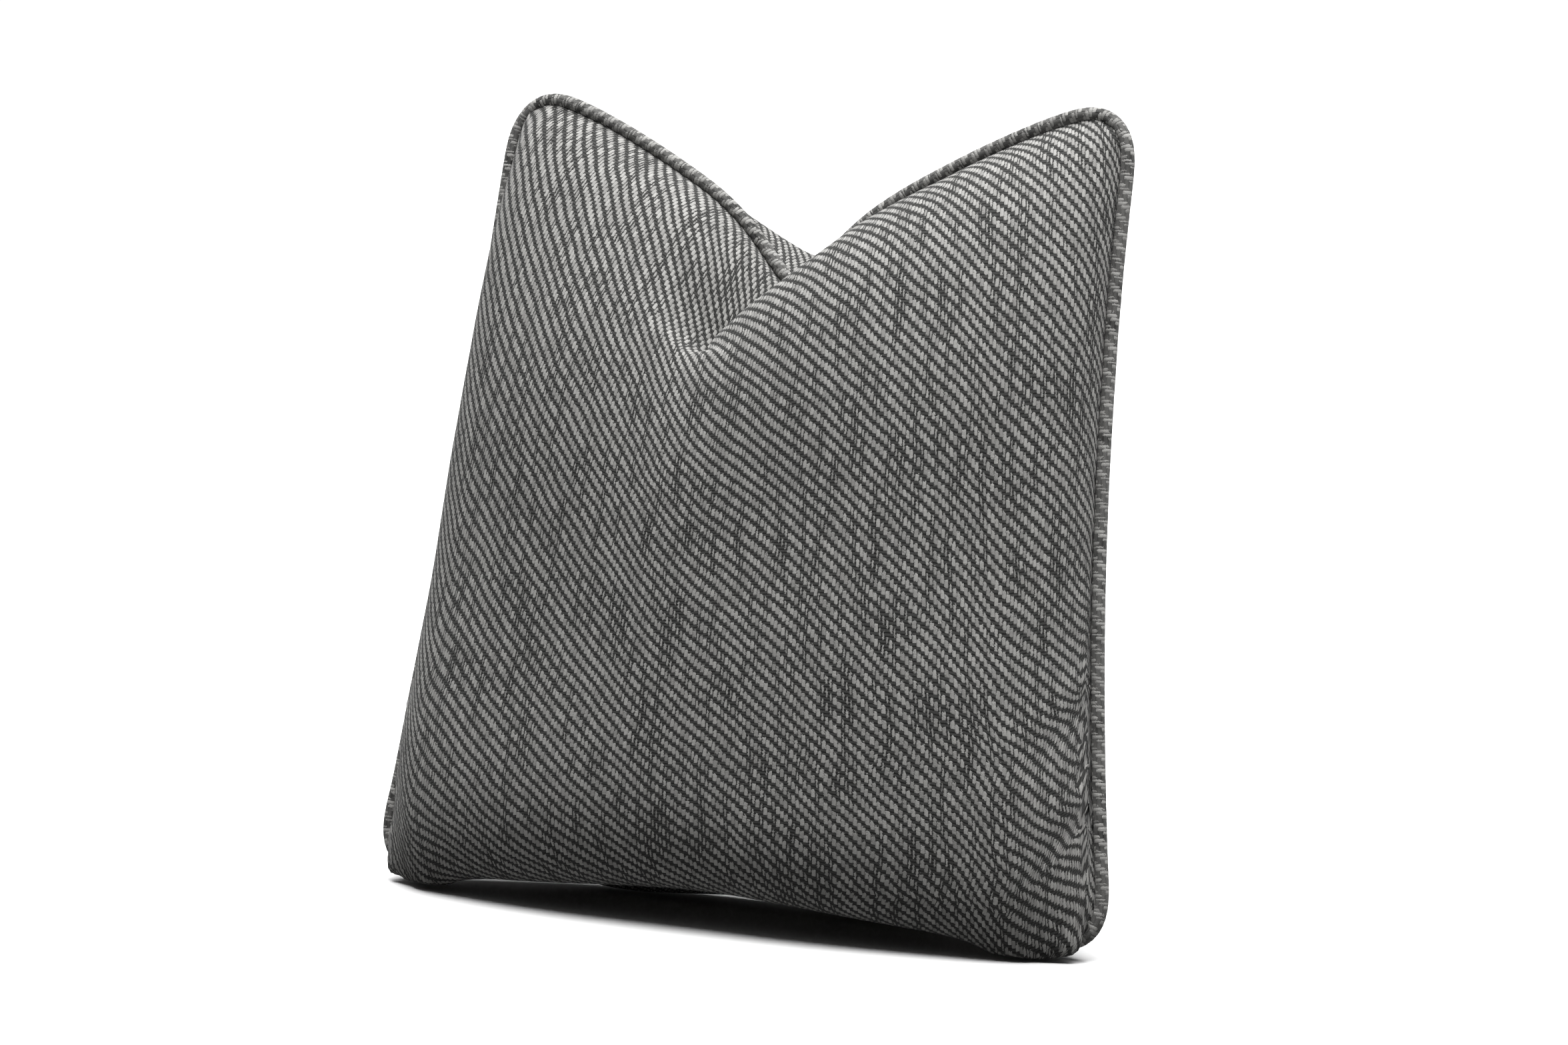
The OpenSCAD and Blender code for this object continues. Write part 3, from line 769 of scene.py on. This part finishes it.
def warp_cover(n, uv, x, picks, along):
    """How far inside a warp float a point is: 1 in its middle, 0 at its edge, and less outside.

    x is the place across the warp, in yarns, and picks is the place along it, with each
    yarn a pick on from the one before.
    """
    yarn = n.math("FLOOR", x)
    phase = n.math("MULTIPLY", n.math("FRACT", n.math("DIVIDE", picks, REPEAT)), REPEAT)
    ragged = n.uneven(n.noise(uv, RAGGED_SCALE, 2.0), RAGGED)
    off_middle = n.math("ABSOLUTE", n.math("SUBTRACT", n.math("ADD", phase, ragged), 1.0))
    end = n.math("MAXIMUM", n.math("SUBTRACT", off_middle, FLOAT_FLAT), 0.0)
    slub_place = n.combine(
        n.math("MULTIPLY", yarn, SLUB_STEP), n.math("MULTIPLY", along, SLUB_SCALE)
    )
    half_width = n.ramp(n.noise(slub_place, 1.0, 1.0), *SLUB_RANGE, *YARN_HALF)
    fuzz = n.uneven(n.noise(uv, FUZZ_SCALE, 3.0), FUZZ)
    beside = n.math("DIVIDE", n.math("ADD", from_middle(n, x), fuzz), half_width)
    cover = n.math("SUBTRACT", 1.0, squared(n, beside))
    return n.math("SUBTRACT", cover, squared(n, n.math("DIVIDE", end, FLOAT_END)))


def float_noise(n, x, picks):
    """A random number for each warp float."""
    place = n.combine(n.math("FLOOR", x), n.math("FLOOR", n.math("DIVIDE", picks, REPEAT)))
    made = n.node("ShaderNodeTexWhiteNoise", {"Vector": place}, noise_dimensions="2D")
    return made.outputs[0]


def tweed(name, pick_pitch, faded=0.0):
    """2/2 twill: pale warp floats over two dark picks, one pick lower at each warp yarn, with
    painted shade down the floats' sides and a painted highlight along the picks' crowns.

    The warp runs along V.  faded is the most that the dark picks lose of their darkness
    in patches.
    """
    n = Nodes(name)
    uv = n.node("ShaderNodeUVMap", uv_map="weave").outputs[0]
    moved = wandered(n, uv)
    across, along = n.axes(moved, "XY")
    x = n.math("DIVIDE", across, WARP_PITCH)
    y = n.math("DIVIDE", along, pick_pitch)
    picks = n.math("ADD", y, n.math("FLOOR", x))
    warp = warp_cover(n, uv, x, picks, along)
    warp_height = dome(n, warp)
    weft = n.math("SUBTRACT", 1.0, n.math("MULTIPLY", squared(n, from_middle(n, y)), PICK_ROUND))
    weft_height = n.math("MULTIPLY", dome(n, weft), PICK_HEIGHT)
    fibre = n.noise(moved, FIBRE_SCALE, 3.0)
    height = n.math("MAXIMUM", warp_height, weft_height)
    height = n.math("ADD", height, n.math("MULTIPLY", fibre, FIBRE_RELIEF))
    each = n.ramp(float_noise(n, x, picks), 0.0, 1.0, *FLOAT_SHADES)
    pale = n.math("ADD", each, n.uneven(fibre, FIBRE_PALE))
    # Painted shade: each float is darkened down its rounded sides
    pale = n.math("MULTIPLY", pale, n.ramp(warp_height, *FLOAT_RISE, *FLOAT_SIDE_SHADE))
    fibre_dark = n.math("ADD", n.math("MULTIPLY", fibre, FIBRE_DARK), DARK_LEAST)
    # Painted highlight: a glint along each dark pick's crown, with painted shade between the picks
    dark = n.math("MULTIPLY", n.ramp(weft_height, *PICK_RISE, *PICK_GLINT), fibre_dark)
    weft_colour = n.scaled(DARK_YARN, dark)
    if faded:
        patches = n.noise(uv, PATCH_SCALE, 1.0)
        patch = n.ramp(patches, *PATCH_RANGE, PATCH_LEAST * faded, faded)
        worn = n.scaled(LIGHT_YARN, n.ramp(fibre, *MOST_NOISE, *PATCH_SHADES))
        weft_colour = n.blend(patch, weft_colour, worn)
    colour = n.blend(n.ramp(warp, *FLOAT_EDGE), weft_colour, n.scaled(LIGHT_YARN, pale))
    return n.finish(
        colour, 0.95, height, TWEED_RELIEF,
        Specular_IOR_Level=0.15, Sheen_Weight=0.12, Sheen_Roughness=0.45,
    )


TWEED = tweed("tweed", PICK_PITCH)
PIPING_TWEED = tweed("piping_tweed", PIPING_PICKS, faded=0.4)


CLOUD_SCALE = 60.0        # of the plain weaves' cloudiness
CLOUD_SHADES = (0.85, 1.05)
WEAVE_HIGHLIGHT = 0.08        # painted highlight: how much lighter a plain weave is painted where its yarns come up, and darker where they dip
WEAVE_RELIEF = 0.0002


def plain_weave(name, colour, pitch):
    """A fine plain weave in the XZ plane, a little cloudy, painted lighter where its yarns come
    up.
    """
    n = Nodes(name)
    place = n.place()
    per_metre = 2 * math.pi / pitch
    waves = [n.math("SINE", n.math("MULTIPLY", axis, per_metre)) for axis in n.axes(place, "XZ")]
    weave = n.math("MULTIPLY", *waves)
    cloudy = n.ramp(n.noise(place, CLOUD_SCALE, 4.0), *MOST_NOISE, *CLOUD_SHADES)
    # Painted highlight on the yarns' crowns and painted shade in their hollows
    shade = n.math("ADD", n.math("MULTIPLY", weave, WEAVE_HIGHLIGHT), cloudy)
    return n.finish(n.scaled(colour, shade), 0.85, weave, WEAVE_RELIEF, Sheen_Weight=0.1)


def grainy(name, colour, scale, detail, shades, roughness, relief, **constants):
    """One colour in two shades, with a relief, from the same noise.

    roughness is one number, or the two that it varies between.
    """
    n = Nodes(name)
    grain = n.noise(n.place(), scale, detail)
    shade = n.ramp(grain, *MOST_NOISE, *shades)
    if isinstance(roughness, tuple):
        roughness = n.ramp(grain, *MOST_NOISE, *roughness)
    return n.finish(n.scaled(colour, shade), roughness, grain, relief, **constants)


INSERT_COTTON = plain_weave("insert_cotton", (0.78, 0.76, 0.70), 0.0012)
CORD_COTTON = plain_weave("cotton_cord", (0.80, 0.77, 0.70), 0.0016)
FIBRE = grainy(
    "fibre_filling", (0.86, 0.85, 0.82), 220.0, 6.0, (0.75, 1.05), 0.9, 0.002, Sheen_Weight=0.3
)
TAPE = plain_weave("zip_tape", (0.045, 0.045, 0.047), 0.0008)
NYLON = grainy(
    "zip_nylon", (0.03, 0.03, 0.032), 1500.0, 3.0, (0.8, 1.1), (0.35, 0.55), 0.00004
)
METAL = grainy(
    "zip_metal", (0.52, 0.52, 0.50), 900.0, 4.0, (0.8, 1.05), (0.28, 0.5), 0.00005, Metallic=1.0
)

# ---- Cover and piping -----------------------------------------------------------


def dress(obj, material, node):
    """Gives a piece of the pillow its material, attaches it to the pillow's body and hides the CAD
    node it stands for.
    """
    obj.data.materials.append(material)
    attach(obj, "pillow")
    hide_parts(node)


for side, label, points in ((FRONT, "front", cover[0]), (BACK, "back", cover[1])):
    panel = cover_panel("Cover_" + label, side, points)
    dress(panel, TWEED, "cover_" + label)

PIPING_SIDES = 20
CORD_R = 2.85
CORD_SIDES = 12


def piping():
    """The piping's strip and the cord inside it, as tubes round the seam."""
    i, j = border(CLOTH_N)
    seam = cover[0, i, j] + np.array([0, SEAM_FACE * MM * math.cos(LEAN), 0])
    out = seam_out(seam)
    path = seam + out * (PIPING_R - PIPING_NESTLE) * MM
    for _ in range(PIPING_PASSES):
        path = (np.roll(path, 1, 0) + 2 * path + np.roll(path, -1, 0)) / 4
    path[:, 2] = np.maximum(path[:, 2], PIPING_R * MM)
    across = np.tile([0, math.cos(LEAN), -math.sin(LEAN)], (len(path), 1))
    strip = tube("Piping", path, PIPING_R * MM, PIPING_SIDES, out, across)
    tube_uv(strip, path, PIPING_R * MM, PIPING_SIDES)
    cord = tube("Piping_cord", path, CORD_R * MM, CORD_SIDES, out, across)
    return strip, cord


strip, cord = piping()
dress(strip, PIPING_TWEED, "piping_strip")
dress(cord, CORD_COTTON, "piping_cord")

# ---- Insert and filling ---------------------------------------------------------

INSERT_INSET = 17
INSERT_FABRIC = 0.6
INSERT_GAP = 2.2          # from the outside of the cover
INSERT_STEP = 2           # grid lines of the cover to one of the insert
INSERT_FOLLOW = 1.6       # how soon, inside its seam, it moves with the cover in full


def inner_grid(k, side, deeper):
    """The insert's grid, deeper mm inside its outer face, moved along with the cover."""
    s, t = grid_params[k]
    below = INSERT_GAP + deeper
    points = leaned(panel_point(s, t, side, INSERT_INSET + deeper, below), below)
    share = crown_share(s) * crown_share(t)
    follow = moved_by[k] * smooth(INSERT_FOLLOW * share)[..., None]
    return (points + follow)[::INSERT_STEP, ::INSERT_STEP]


for k, (side, label) in enumerate(((FRONT, "front"), (BACK, "back"))):
    grids = [inner_grid(k, side, 0), inner_grid(k, side, INSERT_FABRIC)]
    panel = shell("Insert_" + label, grids, (side == BACK, side == FRONT))
    dress(panel, INSERT_COTTON, "insert_" + label)

filling_grids = [inner_grid(k, side, 2 * INSERT_FABRIC) for k, side in enumerate((FRONT, BACK))]
filling = shell("Filling", filling_grids, (False, True))
dress(filling, FIBRE, "filling")

# ---- Carried-over CAD nodes -----------------------------------------------------

CAD_FINISH = {
    "zip_tape_front": TAPE,
    "zip_tape_back": TAPE,
    "zip_coil_front": NYLON,
    "zip_coil_back": NYLON,
    "zip_top_stops": METAL,
    "zip_bottom_stop": METAL,
    "zip_slider": METAL,
    "zip_pull": METAL,
}
for node_name, material in CAD_FINISH.items():
    node = frame["nodes"][node_name]
    node.data.materials.clear()
    node.data.materials.append(material)

# ---- Floor and light ------------------------------------------------------------

FLOOR_HALF = 60.0
FLOOR_SEEN = 0.9          # the floor's shade to the camera
FLOOR_GIVEN = 0.15        # and to the light that it passes on
WORLD_SEEN = 1.05         # the background's brightness to the camera
WORLD_GIVEN = 0.04        # and the even light that it gives
# Each sun's azimuth and elevation, its strength, and how many degrees wide it is
SUNS = {
    "Key": (30, 88, 7.0, 55),
    "Fill_right": (82, 52, 0.15, 60),
    "Fill_left": (-80, 45, 0.15, 60),
}
SIDE_PLACE = (0.62, -0.1, 0.56)   # of the panel that lights the right edge's top
SIDE_AIM = (0.24, 0, 0.42)
SIDE_SIZE = 0.25
SIDE_WATTS = 0.5


def seen_or_given(tree, seen, given):
    """One number for what the camera sees, and another for the light passed on."""
    path = tree.nodes.new("ShaderNodeLightPath")
    number = tree.nodes.new("ShaderNodeMapRange")
    number.inputs["To Min"].default_value = given
    number.inputs["To Max"].default_value = seen
    tree.links.new(path.outputs["Is Camera Ray"], number.inputs["Value"])
    return number.outputs[0]


def floor():
    half = FLOOR_HALF
    corners = [(-half, -half, 0), (half, -half, 0), (half, half, 0), (-half, half, 0)]
    obj = new_object("Floor", corners, [(0, 1, 2, 3)])
    n = Nodes("floor")
    n.finish(seen_or_given(n.tree, FLOOR_SEEN, FLOOR_GIVEN), 0.9, Specular_IOR_Level=0.1)
    obj.data.materials.append(n.material)


def lamp(name, kind, energy):
    """A new lamp, and the object that holds it."""
    data = bpy.data.lights.new(name, kind)
    data.energy = energy
    obj = bpy.data.objects.new(name, data)
    bpy.context.scene.collection.objects.link(obj)
    return data, obj


def sun(name, azimuth, elevation, strength, softness):
    """A soft sun; azimuth 0 is in front of the pillow and 90 is on its right."""
    data, obj = lamp(name, "SUN", strength)
    data.angle = math.radians(softness)
    obj.rotation_euler = (math.pi / 2 - math.radians(elevation), 0, math.radians(azimuth))


def panel_light(name, place, aim, size, power):
    """A square panel that lights the pillow but is not seen itself."""
    data, obj = lamp(name, "AREA", power)
    data.size = size
    obj.location = place
    obj.rotation_euler = (Vector(aim) - Vector(place)).to_track_quat("-Z", "Y").to_euler()
    obj.visible_camera = False


def world():
    """White where the camera sees it, and a dimmer even light on everything."""
    made = bpy.data.worlds.new("Studio")
    made.use_nodes = True
    tree = made.node_tree
    background = tree.nodes["Background"]
    strength = seen_or_given(tree, WORLD_SEEN, WORLD_GIVEN)
    tree.links.new(strength, background.inputs["Strength"])
    background.inputs["Color"].default_value = (1, 1, 1, 1)
    bpy.context.scene.world = made


floor()
for sun_name, setting in SUNS.items():
    sun(sun_name, *setting)
panel_light("Side_right", SIDE_PLACE, SIDE_AIM, SIDE_SIZE, SIDE_WATTS)
world()
bpy.context.scene.view_settings.view_transform = "Standard"
